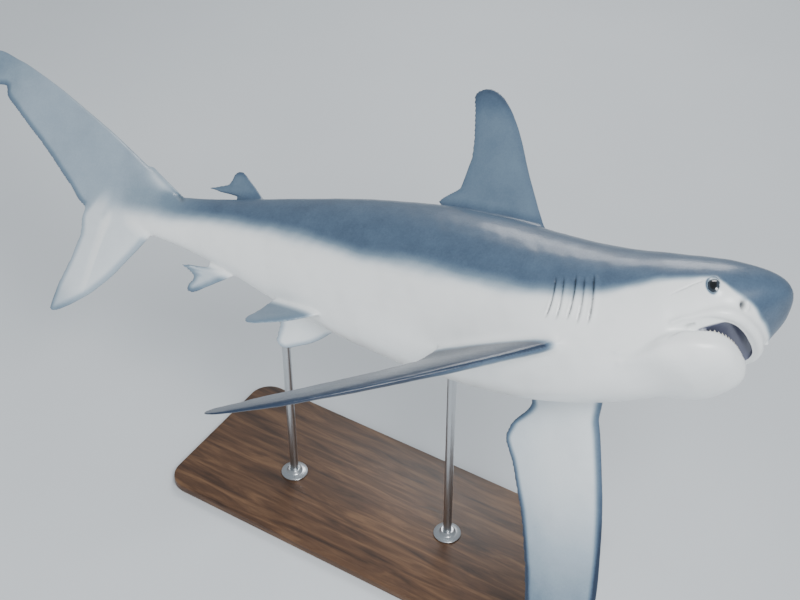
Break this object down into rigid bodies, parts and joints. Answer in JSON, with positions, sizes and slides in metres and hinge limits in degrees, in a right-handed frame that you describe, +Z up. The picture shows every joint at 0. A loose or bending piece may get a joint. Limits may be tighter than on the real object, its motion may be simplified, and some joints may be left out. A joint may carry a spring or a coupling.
{
  "type": "shark",
  "caption": "Life-size requiem shark, banked as if rolling at the surface with its jaws parted, held above a flat stand by slim rods.",
  "frame": {"origin": "centre of the underside of the stand's base", "axes": "+X towards the head, +Z up, +Y to the left of the stand seen from behind the tail"},
  "size_m": [2.1828, 1.0675, 1.1345],
  "materials": {
    "shark_skin": "wet smooth skin, slate grey-blue above and white below",
    "mouth_lining": "wet greyish mauve gum and mouth lining",
    "tooth": "glossy white enamel",
    "eye": "dark glossy eye with a pale rim",
    "stand_base": "dark stained satin wood",
    "stand_steel": "brushed"
  },
  "bodies": {
    "root": {"head": "shark_skin", "lower_jaw": "shark_skin", "trunk_front": "shark_skin", "trunk_middle": "shark_skin", "trunk_rear": "shark_skin", "tail_stock": "shark_skin", "first_dorsal_fin": "shark_skin", "second_dorsal_fin": "shark_skin", "anal_fin": "shark_skin", "pectoral_fin_right": "shark_skin", "pectoral_fin_left": "shark_skin", "pelvic_fin_right": "shark_skin", "pelvic_fin_left": "shark_skin", "caudal_upper_lobe": "shark_skin", "caudal_lower_lobe": "shark_skin", "eye_left": "eye", "eye_right": "eye", "stand_base": "stand_base", "stand_rod_front": "stand_steel", "stand_rod_rear": "stand_steel", "stand_collar_front": "stand_steel", "stand_collar_rear": "stand_steel"}
  },
  "joints": []
}
